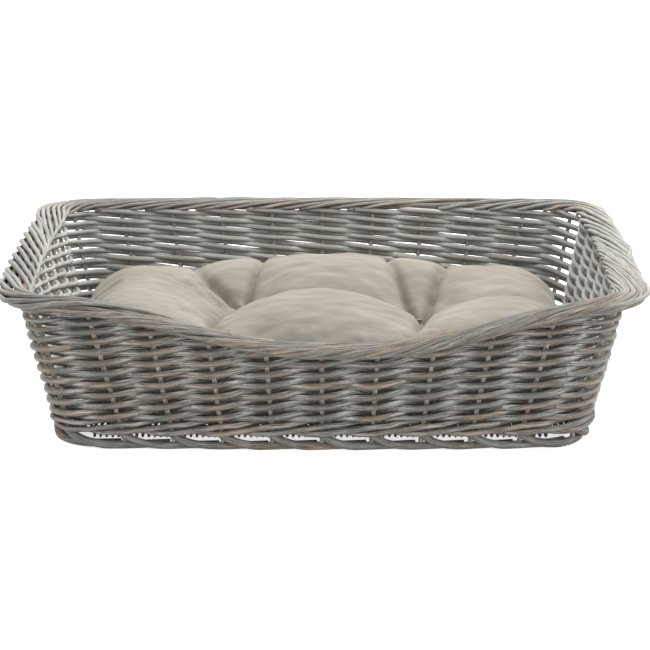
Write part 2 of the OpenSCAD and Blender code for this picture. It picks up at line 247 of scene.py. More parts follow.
class Nodes:
    """Short calls for building a material's nodes."""

    def __init__(self, name):
        self.material = bpy.data.materials.new(name)
        self.material.use_nodes = True
        self.tree = self.material.node_tree
        self.shader = self.tree.nodes["Principled BSDF"]

    def add(self, kind, links=(), **values):
        node = self.tree.nodes.new(kind)
        for key, value in values.items():
            if key in node.inputs:
                node.inputs[key].default_value = value
            else:
                setattr(node, key, value)
        for socket, source in dict(links).items():
            self.tree.links.new(source, node.inputs[socket])
        return node

    def math(self, operation, a, b, clamp=False):
        node = self.tree.nodes.new("ShaderNodeMath")
        node.operation = operation
        node.use_clamp = clamp
        for socket, value in zip(node.inputs, (a, b)):
            if isinstance(value, (int, float)):
                socket.default_value = value
            else:
                self.tree.links.new(value, socket)
        return node.outputs[0]

    def mix(self, factor, a, b, blend="MIX"):
        node = self.tree.nodes.new("ShaderNodeMix")
        node.data_type = "RGBA"
        node.blend_type = blend
        for socket, value in ((node.inputs[0], factor), (node.inputs[6], a), (node.inputs[7], b)):
            if isinstance(value, (int, float, tuple)):
                socket.default_value = value
            else:
                self.tree.links.new(value, socket)
        return node.outputs[2]

    def ramp(self, factor, stops):
        node = self.tree.nodes.new("ShaderNodeValToRGB")
        while len(node.color_ramp.elements) < len(stops):
            node.color_ramp.elements.new(0.5)
        for element, (position, shade) in zip(node.color_ramp.elements, stops):
            element.position = position
            element.color = shade
        self.tree.links.new(factor, node.inputs[0])
        return node.outputs[0]

    def noise(self, vector, scale, size=1.0, detail=3.0, rough=0.6):
        """Noise with its own stretch along each axis of the vector."""
        mapping = self.add("ShaderNodeMapping", {"Vector": vector}, Scale=scale)
        node = self.add("ShaderNodeTexNoise", {"Vector": mapping.outputs[0]},
                        Scale=size, Detail=detail, Roughness=rough)
        return node.outputs["Fac"]

    def attribute(self, name, output):
        return self.add("ShaderNodeAttribute", attribute_name=name).outputs[output]

    def output(self, socket, source):
        self.tree.links.new(source, self.shader.inputs[socket])


WILLOW_DARK = colour(44, 40, 36)
WILLOW_BROWN = colour(98, 86, 74)
WILLOW_TAN = colour(136, 117, 98)
WILLOW_GREY = colour(98, 97, 91)
WILLOW_BLUE = colour(110, 112, 108)
WILLOW_WASH = colour(200, 199, 193)
# Painted light: the paler tint that walls which catch more light are mixed towards.
WILLOW_PAINTED_LIGHT = colour(158, 157, 151)
# Painted shade: the dark that rod undersides and the inside of the front wall are mixed towards.
WILLOW_PAINTED_SHADE = colour(30, 27, 24)
VELOUR_DARK = colour(118, 112, 103)
VELOUR_TAUPE = colour(134, 128, 119)
VELOUR_LIGHT = colour(149, 144, 135)
VELOUR_PILE = colour(100, 94, 86)
# Painted shade for the creases.
VELOUR_PAINTED_SHADE = colour(74, 68, 61)
VELOUR_SHEEN = colour(226, 220, 208)


def willow(name, lift=1.0, brown=0.5, carried=False):
    """Weathered grey willow: streaks along the rod, tan and blue-grey patches and rests of whitewash, with
    painted light on the walls that catch more light and painted shade on rod undersides.
    """
    m = Nodes(name)
    if carried:  # a CAD solid has no attributes, so its grain runs along Z
        vector = m.add("ShaderNodeTexCoord").outputs["Object"]
        streak_scale, patch_scale, fine_scale = (620, 620, 34), (45, 45, 14), (2400, 2400, 220)
        fleck_scale = (760, 760, 42)
        tone = m.noise(vector, (14, 14, 2), detail=0)
        wash = 0.35
        painted_light_and_shade = 0.1
    else:
        vector = m.attribute("grain", "Vector")
        streak_scale, patch_scale, fine_scale = (34, 560, 560), (16, 70, 70), (220, 2400, 2400)
        fleck_scale = (42, 760, 760)
        tone = m.attribute("tone", "Fac")
        wash = m.attribute("wash", "Fac")
        painted_light_and_shade = m.attribute("painted_light_and_shade", "Fac")
    streak = m.noise(vector, streak_scale, detail=4)
    patch = m.noise(vector, patch_scale, detail=3)
    fine = m.noise(vector, fine_scale, detail=2)
    where = m.math("ADD", m.math("MULTIPLY", patch, 1.25), m.math("MULTIPLY", tone, 0.34))
    where = m.math("SUBTRACT", where, 0.29 + 0.1 * (brown - 0.5))
    shade = m.ramp(where, [(0.12, WILLOW_BROWN), (0.3, WILLOW_TAN), (0.46, WILLOW_BROWN),
                           (0.56, WILLOW_GREY), (0.8, WILLOW_BLUE)])
    streaks = m.ramp(streak, [(0.38, (1, 1, 1, 1)), (0.5, (0.3, 0.3, 0.3, 1)), (0.6, (0, 0, 0, 1))])
    shade = m.mix(m.math("MULTIPLY", streaks, 0.6), shade, WILLOW_DARK)
    # Painted light: a streaked paler tint where the walls catch more light; below 0 the same amount paints
    # shade.
    painted_light_mask = m.ramp(streak, [(0.34, (0.55, 0.55, 0.55, 1)), (0.52, (1, 1, 1, 1))])
    shade = m.mix(m.math("MULTIPLY", painted_light_and_shade, painted_light_mask, clamp=True), shade, WILLOW_PAINTED_LIGHT)
    shade = m.mix(m.math("MULTIPLY", painted_light_and_shade, -1.0, clamp=True), shade, WILLOW_PAINTED_SHADE)
    light = m.ramp(fine, [(0.5, (0, 0, 0, 1)), (0.68, (1, 1, 1, 1))])
    shade = m.mix(m.math("MULTIPLY", light, 0.22), shade, WILLOW_WASH)
    flecks = m.noise(vector, fleck_scale, detail=3, rough=0.7)
    flecks = m.ramp(flecks, [(0.47, (0.04, 0.04, 0.04, 1)), (0.56, (1, 1, 1, 1))])
    worn = m.math("MULTIPLY", m.math("ADD", wash, 0.1), flecks, clamp=True)
    shade = m.mix(worn, shade, WILLOW_WASH)
    # Painted shade: faces that point down are darkened.
    normal = m.add("ShaderNodeNewGeometry").outputs["Normal"]
    up = m.add("ShaderNodeSeparateXYZ", {"Vector": normal}).outputs["Z"]
    below = m.ramp(m.math("ADD", m.math("MULTIPLY", up, 0.5), 0.5),
                   [(0.12, (1, 1, 1, 1)), (0.42, (0.22, 0.22, 0.22, 1)), (0.62, (0, 0, 0, 1))])
    shade = m.mix(m.math("MULTIPLY", below, 0.6), shade, WILLOW_PAINTED_SHADE)
    if lift != 1.0:
        shade = m.mix(1.0, shade, (lift, lift, lift, 1), "MULTIPLY")
    m.output("Base Color", shade)
    height = m.math("ADD", streak, m.math("MULTIPLY", fine, 0.35))
    bump = m.add("ShaderNodeBump", {"Height": height}, Strength=0.55, Distance=0.0006)
    m.output("Normal", bump.outputs[0])
    m.shader.inputs["Roughness"].default_value = 0.72
    m.shader.inputs["Specular IOR Level"].default_value = 0.35
    return m.material


def velour(name):
    """Short taupe pile: lighter at grazing angles, with faint cloudy patches where the pile lies over, and
    painted shade in the creases.
    """
    m = Nodes(name)
    vector = m.add("ShaderNodeTexCoord").outputs["Object"]
    cloud = m.noise(vector, (9, 16, 16), detail=4)
    brushed = m.noise(vector, (30, 110, 60), detail=3)
    pile = m.noise(vector, (1500, 1500, 1500), detail=1)
    shade = m.ramp(m.math("ADD", m.math("MULTIPLY", cloud, 0.6), m.math("MULTIPLY", brushed, 0.4)),
                   [(0.3, VELOUR_DARK), (0.5, VELOUR_TAUPE), (0.68, VELOUR_LIGHT)])
    shade = m.mix(m.math("MULTIPLY", pile, 0.16), shade, VELOUR_PILE)
    painted_crease_shade = m.attribute("painted_crease_shade", "Fac")  # painted shade in the creases
    shade = m.mix(m.math("MULTIPLY", painted_crease_shade, 0.55, clamp=True), shade, VELOUR_PAINTED_SHADE)
    m.output("Base Color", shade)
    bump = m.add("ShaderNodeBump", {"Height": pile}, Strength=0.25, Distance=0.0004)
    m.output("Normal", bump.outputs[0])
    m.shader.inputs["Roughness"].default_value = 0.9
    m.shader.inputs["Specular IOR Level"].default_value = 0.15
    m.shader.inputs["Sheen Weight"].default_value = 0.25
    m.shader.inputs["Sheen Roughness"].default_value = 0.45
    m.shader.inputs["Sheen Tint"].default_value = VELOUR_SHEEN
    return m.material


def plain(name, shade, rough):
    """One colour with fine dark flecks."""
    m = Nodes(name)
    fleck = m.noise(m.add("ShaderNodeTexCoord").outputs["Object"], (900, 900, 900), detail=2)
    darker = tuple(0.6 * v for v in shade[:3]) + (1,)
    m.output("Base Color", m.mix(m.math("MULTIPLY", fleck, 0.4), shade, darker))
    m.shader.inputs["Roughness"].default_value = rough
    return m.material


THREAD = plain("thread", colour(112, 105, 95), 0.8)
GREY = willow("grey_willow")
PALE = willow("pale_willow", lift=0.92, brown=0.4)
BROWN = willow("brown_willow", lift=0.85, brown=0.9)
PALE_STAKE = willow("pale_stake", lift=1.15, brown=0.3, carried=True)
BROWN_STICK = willow("brown_stick", lift=0.85, brown=0.9, carried=True)

# ---------------------------------------------------------------- walls: French rand

SAMPLES = 12  # rings of a rod from one stake to the next
# For the front, right, back and left: how much lower a rod sits on the inner side of a stake than
# on the outer side, and its radius as a share of the height from one rod to the next.
SAGS = (7.0 * MM, 2.4 * MM, 0.3 * MM, 2.4 * MM)
FILLS = (0.53, 0.55, 0.60, 0.55)
SAG_REACH = 0.55  # stakes from the inner side to where a rod has stopped sagging
LOW_SAG, LOW_Z = 0.35, 80 * MM  # rods sag this share more at the foot, and no more at 1.2 of this height
END_STAND = 0.75  # share that the rods of the short sides stand further out at the rim
UNDER_RIM = 13 * MM  # rods end this far below the rim's top
PRESS = 0.2 * MM  # how deep a rod is pressed against a stake
# Size, and radians a stake, of the drifts up, up and out that make a rod uneven.
DRIFTS = ((0.45 * MM, 2.1), (0.25 * MM, 4.7), (0.3 * MM, 3.3))

ROUNDS = [f"open_round_{i}" for i in range(1, 8)] + [f"packed_round_{i}" for i in range(1, 5)]
round_z = [(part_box(n)[0].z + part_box(n)[1].z) / 2 for n in ROUNDS]
# A rod passes outside a stake at even places along it, one round higher each time.
climb = np.array([2 * round_z[0] - round_z[1]] + round_z + [2 * round_z[-1] - round_z[-2]])
climb_places = 2 * np.arange(-1, len(ROUNDS) + 1)

# Drawn for each rod: the tones of its lengths, the rounds where they join, where its grain starts,
# its thickness and the phases of its drifts.
weave_draw = np.random.default_rng(11)
rod_tone = weave_draw.uniform(0, 1, (STAKES, 4))
rod_joint = weave_draw.integers(2, 9, (STAKES, 2))
rod_start = weave_draw.uniform(0, 40, (STAKES, 3))
rod_thick = weave_draw.uniform(0.9, 1.07, STAKES)
rod_phase = weave_draw.uniform(0, TAU, (STAKES, 3))


def by_side(u, values):
    """A value that each of the four sides has, passing over at the corners."""
    front, right, back, left = values
    return np.interp(np.mod(u, STAKES), [0, 0.5, 9.5, 10.5, 16.5, 17.5, 26.5, 27.5, 33.5, 34],
                     [left, front, front, right, right, back, back, left, left, left])


def rand_rod(j, m):
    """Centre line and radius of wall rod j at places m along it; it starts at stake j."""
    u = j + m
    z = np.interp(m, climb_places, climb)
    rise = np.interp(m, climb_places[:-1], np.diff(climb)) / 2  # from one rod to the next
    radius = by_side(u, FILLS) * rise * rod_thick[j]
    from_inner = np.abs(np.mod(m, 2) - 1)
    low = np.clip(1 - from_inner / SAG_REACH, 0, 1)
    sag = by_side(u, SAGS) * (1 + LOW_SAG * np.clip(1.2 - z / LOW_Z, 0, 1))
    z = z - sag * low * low * (3 - 2 * low)
    drift_1, drift_2, drift_out = (size * np.sin(m * wave + rod_phase[j, i])
                                   for i, (size, wave) in enumerate(DRIFTS))
    z = z + drift_1 + drift_2
    swing = np.cos(math.pi * m)  # 1 outside a stake, -1 inside the next
    swing = swing * (1.25 - 0.25 * swing * swing)
    out = swing * (STAKE_R + radius - PRESS) + drift_out
    at_end = np.clip(np.abs(np.cos(direction(u))) * 1.4 - 0.4, 0, 1)
    out = np.where(out > 0, out * (1 + END_STAND * at_end * z / HEIGHT), out)
    point, way = on_wall(u, z, out)
    return u, z, point, way, radius


def rod_looks(u, m, tone, sides=10):
    """Tone, whitewash, and painted light and shade along a wall rod."""
    between = 0.5 - 0.5 * np.cos(TAU * m)  # 1 midway between stakes
    turn = np.arange(sides) * TAU / sides
    edge = np.clip(np.sin(turn - 0.2), 0, 1) + 0.6 * np.clip(-np.sin(turn + 0.5), 0, 1)
    facing = np.cos(direction(u))
    front = np.clip(-1.5 * np.sin(direction(u)) - 0.4, 0, 1)
    back = np.clip(1.5 * np.sin(direction(u)) - 0.4, 0, 1)
    inner = np.clip(-np.cos(math.pi * m) * 1.6 - 0.1, 0, 1)
    # Painted light: the short sides and the back are made paler where they catch more light, and painted
    # shade darkens the inside of the front wall.
    painted_light_and_shade = facing ** 4 * (0.8 + 0.3 * tone) - 0.8 * front * inner
    painted_light_and_shade += (0.65 + tone) * back
    wash = (between * (1 - 0.7 * facing ** 2))[:, None] ** 2 * (0.25 + edge)[None, :]
    # Brown where a rod shows outside a stake, grey midway.
    return 0.75 * tone + 0.55 * between - 0.15, wash, painted_light_and_shade


# Each round's node is replaced by the lengths of the climbing rods that are nearest it.
for r, node in enumerate(ROUNDS):
    rods = Rods([21, r])
    for j in range(STAKES):
        first = -1.2 if r == 0 else 2 * r - 0.5
        m = np.linspace(first, 2 * r + 1.5, 2 * SAMPLES + 1)
        u, z, point, way, radius = rand_rod(j, m)
        keep = np.flatnonzero(z < rim_height(u) - UNDER_RIM)
        if len(keep) < 3:
            continue
        if len(keep) < len(m):
            m = np.linspace(m[keep[0]], m[keep[-1]], max(4, len(keep)))
            u, z, point, way, radius = rand_rod(j, m)
        tone = rod_tone[j, int((r >= rod_joint[j]).sum())]
        tone, wash, painted_light_and_shade = rod_looks(u, m, tone)
        # The grain goes on from the round below.
        start = rod_start[j] + [(first - m[0]) * -SPACING + r * 2 * SPACING, 0, 0]
        rods.add(point, way, radius, wash=wash, tone=tone, start=start, painted_light_and_shade=painted_light_and_shade)
    rods.build(node.replace("round", "weave"), GREY, [node])

# ---------------------------------------------------------------- wale: three rods at the foot of the wall

low_z = sum(v.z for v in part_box("lower_wale")) / 2
high_z = sum(v.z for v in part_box("upper_wale")) / 2
WALE_R, WALE_DRIFT = 3.5, 0.35  # mm: a wale rod's mean radius, and how far it differs
wale = Rods([31])
for j in range(STAKES):
    m = np.linspace(-1.35, 2.35, 44)
    z = np.interp(m, [-1.4, -1, 0, 1, 2, 2.4],
                  [low_z - 1 * MM, low_z - 1 * MM, low_z, high_z, high_z + 1 * MM, high_z])
    z = z + wander(wale.draw, m, 0.6 * MM)
    radius = (WALE_R + WALE_DRIFT * wale.draw.uniform(-1, 1)) * MM
    swing = np.interp(m, [-1.4, -1, -0.72, -0.5, -0.3, 0, 0.5, 1, 1.3, 1.5, 1.72, 2, 2.4],
                      [-1, -1, -0.75, 0, 0.75, 1, 1.12, 1, 0.75, 0, -0.75, -1, -1])
    out = swing * (STAKE_R + radius)
    point, way = on_wall(j + m, z, out)
    outside = np.clip(1 - np.abs(m - 0.5) / 1.1, 0, 1)
    wale.add(point, way, radius, wash=(0.1 + 0.35 * (1 - outside)))
wale.build("wale", GREY, ["lower_wale", "upper_wale"])

# ---------------------------------------------------------------- foot border

FOOT_STROKE = np.array([  # place from its stake, then mm out of the stake line and mm up
    (-0.06, 1.0, 23.0), (0.03, 3.2, 19.0), (0.14, 4.2, 14.5), (0.34, 4.5, 8.6), (0.66, 3.6, 5.2),
    (1.0, 1.6, 4.0), (1.4, -2.4, 3.6), (1.9, -6.0, 3.5)])
FOOT_R, FOOT_DRIFT = 4.9, 0.3  # mm: a foot rod's mean radius, and how far it differs
foot = Rods([41])
for j in range(STAKES):
    t = np.linspace(0, 1, 34)
    key = np.linspace(0, 1, len(FOOT_STROKE))
    m, out, z = (np.interp(t, key, FOOT_STROKE[:, i]) for i in range(3))
    for _ in range(3):
        for row in (m, out, z):
            row[1:-1] = (row[:-2] + row[1:-1] * 2 + row[2:]) / 4
    radius = (FOOT_R + FOOT_DRIFT * foot.draw.uniform(-1, 1)) * MM
    out = out * MM + wander(foot.draw, m, 0.7 * MM)
    z = np.maximum(z * MM + wander(foot.draw, m, 0.4 * MM), radius)
    angle = direction(j + m)
    x, y = outline(angle, [v + out for v in level(z)])
    point = np.stack([x, y, z], -1)
    way = np.stack([np.cos(angle), np.sin(angle), np.zeros_like(angle)], -1)
    foot.add(point, way, radius, wash=0.15)
foot.build("foot_border_rods", PALE, ["foot_border"])

# ---------------------------------------------------------------- rim

RIM_CENTRE = (8 * MM, 9.6 * MM)  # out of the stake line, below the rim's top
RIM_HALF = (19.2 * MM, 5.9 * MM)  # half its width and height
SIDE_ENDS = (9, 16, 26)  # last stake of the front, of the right and of the back
# Rods that start at each stake, the stakes that each runs past, and its least and greatest radius in mm:
# few thick rods over the border on the short sides, and many thin ones along it on the front.
RIM_FRONT, RIM_SIDE, RIM_BACK = (3, 5.0, 2.3, 3.1), (2, 3.2, 3.3, 3.9), (2, 4.4, 2.9, 3.6)
# Loose rods laid round the corners outside the border: first stake, stakes passed, how far out in mm.
LOOSE_RODS = ((8.9, 3.4, 31), (12.4, 2.2, 29), (26.2, 2.4, 29), (32.1, 2.3, 30))
LOOSE_R = 3.4  # mm
# Hidden rods that fill the border: mm out of the stake line and below the top, and their radius.
RIM_CORES, RIM_CORE_R = ((-3, 10), (6, 9.5), (16, 10.5)), 4.5
# A rim rod's way round the border's cross-section, and the length along it.
rim_turn = np.radians(np.linspace(-75, 215, 200))
_rim_x, _rim_y = RIM_HALF[0] * np.cos(rim_turn), RIM_HALF[1] * np.sin(rim_turn)
_rim_arc = np.concatenate([[0], np.cumsum(np.hypot(np.diff(_rim_x), np.diff(_rim_y)))])


def on_rim(u, out, drop):
    """A point of the rim, with drop measured down from its top, and the direction it faces."""
    z = rim_height(u)
    angle = direction(u)
    x, y = outline(angle, [v + out for v in level(z)])
    return np.stack([x, y, z - drop], -1), angle


rim = Rods([51])
for j in range(STAKES):
    side = int(np.searchsorted(SIDE_ENDS, j))
    count, run, thin, thick = (RIM_FRONT, RIM_SIDE, RIM_BACK, RIM_SIDE)[side]
    for part in range(count):
        first = j + (part + rim.draw.uniform(-0.15, 0.15)) / count
        share = np.linspace(0, 1, 46)
        u = first + run * share
        turn = np.interp(share * _rim_arc[-1], _rim_arc, rim_turn)
        squeeze = 1 + 0.05 * wander(rim.draw, u, 1.0)
        out = RIM_CENTRE[0] + RIM_HALF[0] * np.cos(turn) * squeeze + wander(rim.draw, u, 0.8 * MM)
        drop = RIM_CENTRE[1] - RIM_HALF[1] * np.sin(turn) + wander(rim.draw, u, 0.7 * MM)
        point, angle = on_rim(u, out, drop)
        way = np.stack([np.cos(turn) * np.cos(angle), np.cos(turn) * np.sin(angle), np.sin(turn)], -1)
        radius = rim.draw.uniform(thin, thick) * MM * (1 - 0.25 * share)
        wash = 0.14 * rim.draw.uniform(0, 1.6)
        # Painted light: rim rods on the short sides and at the back are made paler, at the front less so.
        painted_light_and_shade = 0.1 + 0.1 * np.sin(angle) + rim.draw.uniform(0.4, 0.8) * np.cos(angle) ** 4
        rim.add(point, way, radius, wash=wash, painted_light_and_shade=painted_light_and_shade)
for first, turned, reach in LOOSE_RODS:
    share = np.linspace(0, 1, 40)
    out = (9 + (reach - 9) * np.sin(math.pi * share) ** 0.8) * MM
    drop = (13 - 7 * np.sin(math.pi * np.clip(share * 1.15, 0, 1))) * MM
    point, angle = on_rim(first + turned * share, out, drop)
    way = np.stack([np.cos(angle), np.sin(angle), 0 * angle], -1)
    # Painted light: the loose rods are made paler on the short sides.
    rim.add(point, way, (LOOSE_R - 0.8 * share) * MM, wash=0.2, painted_light_and_shade=0.15 + 0.5 * np.cos(angle) ** 2)
for out, drop in RIM_CORES:
    u = np.linspace(0, STAKES, STAKES * 8 + 1)
    point, angle = on_rim(u, out * MM, drop * MM)
    way = np.stack([np.cos(angle), np.sin(angle), 0 * angle], -1)
    rim.add(point, way, RIM_CORE_R * MM, tone=0.4)
rim.build("rim_border", PALE, ["rim_outer_roll", "rim_top_roll", "rim_inner_roll"])

# ---------------------------------------------------------------- base

PASS_PITCH = 3.7 * MM  # from one pass of the weaver to the next
BASE_ROD_R = 1.65 * MM
LOOP_DROP = 9.6 * MM  # how far the weaver drops where it turns round at the front and back
sticks = [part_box(f"base_stick_{i}") for i in range(1, 10)]
stick_y = [(low.y + high.y) / 2 for low, high in sticks]
stick_z = (sticks[4][0].z + sticks[4][1].z) / 2
stick_r = (sticks[4][1].z - sticks[4][0].z) / 2
reach = sticks[4][1].x + 3 * MM  # half length of the weave
short = sticks[0][1].x - 2 * MM  # half length that the two outer sticks reach
base = Rods([61])
BASE = [v - 10.3 * MM for v in level(12 * MM)]  # outline of the woven base, inside the stakes
swing = stick_r + 1.5 * MM
points = []
passes = int(2 * reach / PASS_PITCH)
for p in range(passes + 1):
    x = -reach + (p + p % 2 * 0.32) * PASS_PITCH
    inner = abs(x) > short
    ys = stick_y[1:-1] if inner else stick_y
    ys = ys if p % 2 == 0 else ys[::-1]
    side = 1 if p % 2 == 0 else -1
    row = []
    for i, y in enumerate(ys):
        row.append((x, y, stick_z + swing * side * (-1) ** i))
        if i < len(ys) - 1:
            row.append((x, (y + ys[i + 1]) / 2, stick_z))
    corner = max(0.0, abs(x) - (BASE[0] - BASE[2]))
    edge = BASE[1] - BASE[2] + math.sqrt(max(0.0, BASE[2] ** 2 - corner ** 2))
    turn_y = MIDDLE_Y + side * max(abs(ys[-1] - MIDDLE_Y) + 6 * MM, edge - 2.5 * MM)
    row.append((x + PASS_PITCH / 2, turn_y, stick_z - LOOP_DROP))
    points += row
points = np.array(points)
t = np.arange(len(points))
fine_t = np.linspace(0, len(points) - 1, (len(points) - 1) * 3 + 1)
path = np.stack([np.interp(fine_t, t, points[:, i]) for i in range(3)], -1)
for _ in range(3):
    path[1:-1] = (path[:-2] + path[1:-1] * 2 + path[2:]) / 4
way = np.tile(np.array([[1.0, 0.0, 0.0]]), (len(path), 1))
base.add(path, way, BASE_ROD_R, sides=6, tone=0.5)
base.build("base_weave_rods", BROWN, ["base_weave"])

# ---------------------------------------------------------------- cushion

cushion_low, cushion_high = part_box("cushion_cover_top")
CUSHION_A, CUSHION_B = cushion_high.x - 1 * MM, (cushion_high.y - cushion_low.y) / 2 - 1 * MM
CUSHION_Y = (cushion_high.y + cushion_low.y) / 2
CUSHION_CORNER = 76 * MM  # 14 mm less than in the CAD
SEAM_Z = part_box("cushion_cover_base")[1].z
FLOOR_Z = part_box("cushion_cover_base")[0].z
CROWN = 77 * MM  # about the highest puff over the seam
CROWN_FLAT = 0.30  # share of the crown that isn't in the puffs
EDGE_LEVEL = 0.93  # what the puffs level out to where the creases have run out
TOP_EDGE, LOW_EDGE = 84 * MM, 62 * MM  # from the seam to where the top and the underside are full
TUFTS = [sum(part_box(f"cushion_tuft_{side}"), Vector()) / 2 for side in ("left", "right")]
TUFT_Z = 101 * MM  # height of the cloth at a tuft
MESH_PITCH = 5.4 * MM  # between the points of the cushion's mesh
MESH_ROW = 0.866  # height of a row of its triangles, in pitches
MESH_COLUMNS = 62  # points on each side of the middle, past the cushion's ends
CREASES_FULL, CREASES_RUN = 50 * MM, 170 * MM  # creases are full this near a tuft, then run out this far
EDGE_FADE = 0.8  # how much of the puffs is lost where the creases have run out
BACK_DROP = 0.14  # the back corners have less wadding
CREASE_DEPTH = 12 * MM
CREASE_WIDTH = 0.14  # how much higher one puff is than the next where their crease is at 37%
CREASE_REST = 0.08  # share of the depth that is left far from the tufts
FOLD_EDGE = 60 * MM  # folds fade out this near the seam
SEAM_WAVE = 1.2 * MM  # how far the seam goes up and down
SEAM_PULL = 0.004, 0.018  # how far the middle of the ends and of the long sides pulls in, as a share
FRAMES, PRESSURE = 20, 4  # of the cloth simulation
SEAM_HELD, TUFT_HELD = 0.35, 9 * MM  # how firmly the seam is held, and how far round a tuft
MOVE_CAP = 14 * MM  # most that the simulation may move a point
PUFFS = np.array([  # centre x and y, reach x and y, in mm from the cushion's middle; share of CROWN
    (-254, 0, 142, 310, 0.96), (-6, -74, 158, 118, 0.97), (8, 138, 122, 146, 1.07),
    (-122, 170, 74, 130, 0.82), (122, 170, 76, 130, 0.82), (252, -98, 146, 122, 1.00),
    (258, 122, 142, 124, 0.90)])


def inside_edge(x, y):
    """How far a point lies inside the cushion's outline, a rectangle with round corners."""
    qx, qy = np.abs(x) - (CUSHION_A - CUSHION_CORNER), np.abs(y) - (CUSHION_B - CUSHION_CORNER)
    outer = np.hypot(np.maximum(qx, 0), np.maximum(qy, 0)) + np.minimum(np.maximum(qx, qy), 0)
    return CUSHION_CORNER - outer


def edge_rise(distance, width, power=1.9):
    """0 on the seam to 1 past width from it, round like the side of a pillow."""
    t = np.clip(distance / width, 0, 1)
    return (1 - (1 - t) ** power) ** (1 / power)


def bumps(x, y):
    """Height of every puff at each point, as a share of CROWN, before they are joined."""
    return np.array([c - (((x / MM - px) / rx) ** 2 + ((y / MM - py) / ry) ** 2) ** 1.25
                     for px, py, rx, ry, c in PUFFS])


def from_tufts(x, y):
    """Distance to the nearest tuft, and 1 close to it falling to 0 where its creases have run out."""
    far = np.min([np.hypot(x - t.x, y + CUSHION_Y - t.y) for t in TUFTS], axis=0)
    t = np.clip((far - CREASES_FULL) / CREASES_RUN, 0, 1)
    return far, 1 - t * t * (3 - 2 * t)


def cushion_top(x, y):
    """Height of the upper panel over its seam: puffs that meet in creases, pulled down at the tufts."""
    sharp = 28
    h = np.log(np.exp(sharp * bumps(x, y)).sum(0)) / sharp
    h = np.where(h < 0.15, 0.15 + 0.35 * (h - 0.15), h)
    far, strength = from_tufts(x, y)
    fade = EDGE_FADE * (1 - strength)
    z = CROWN * (CROWN_FLAT + (1 - CROWN_FLAT) * (h * (1 - fade) + EDGE_LEVEL * fade))
    at_side = np.clip((np.abs(x) - 100 * MM) / (120 * MM), 0, 1)
    at_back = np.clip((y + 50 * MM) / (120 * MM), 0, 1)
    z = z * (1 - BACK_DROP * at_side * at_back)
    pulled = TUFT_Z - SEAM_Z + 0.8 * far
    return -np.logaddexp(-z / (4 * MM), -pulled / (4 * MM)) * 4 * MM


def folds(x, y):
    """Depth of the creases between the puffs and of the small folds that run out from the tufts."""
    ranked = np.sort(bumps(x, y), axis=0)
    _, strength = from_tufts(x, y)
    depth = CREASE_DEPTH * np.exp(-((ranked[-1] - ranked[-2]) / CREASE_WIDTH) ** 2)
    depth *= CREASE_REST + (1 - CREASE_REST) * strength
    draw = np.random.default_rng(71)
    for tuft in TUFTS:
        dx, dy = x - tuft.x, y + CUSHION_Y - tuft.y
        far = np.hypot(dx, dy)
        around = np.arctan2(dy, dx)
        turns = np.linspace(-math.pi, math.pi, 16, endpoint=False) + draw.uniform(-0.13, 0.13, 16)
        for at in turns:
            deep = draw.uniform(1.8, 5.0) * MM
            width, length = draw.uniform(3.5, 5.5) * MM, draw.uniform(40, 95) * MM
            bend = draw.uniform(-2.5, 2.5)
            off = np.abs(np.angle(np.exp(1j * (around - at - bend * far)))) * far
            line = np.exp(-(off / (width + 0.05 * far)) ** 2 - (far / length) ** 2)
            depth += deep * line * far / (far + 12 * MM)
    for _ in range(8):  # faint folds along the cushion
        slant, wave = draw.uniform(-0.35, 0.35), draw.uniform(22, 46) * MM
        size, length = draw.uniform(0.8, 2.2), draw.uniform(110, 220) * MM
        swing = size * np.sin(TAU * x / length + draw.uniform(0, TAU))
        depth += 0.22 * MM * np.sin(TAU * (y + slant * x) / wave + swing + draw.uniform(0, TAU))
    return depth


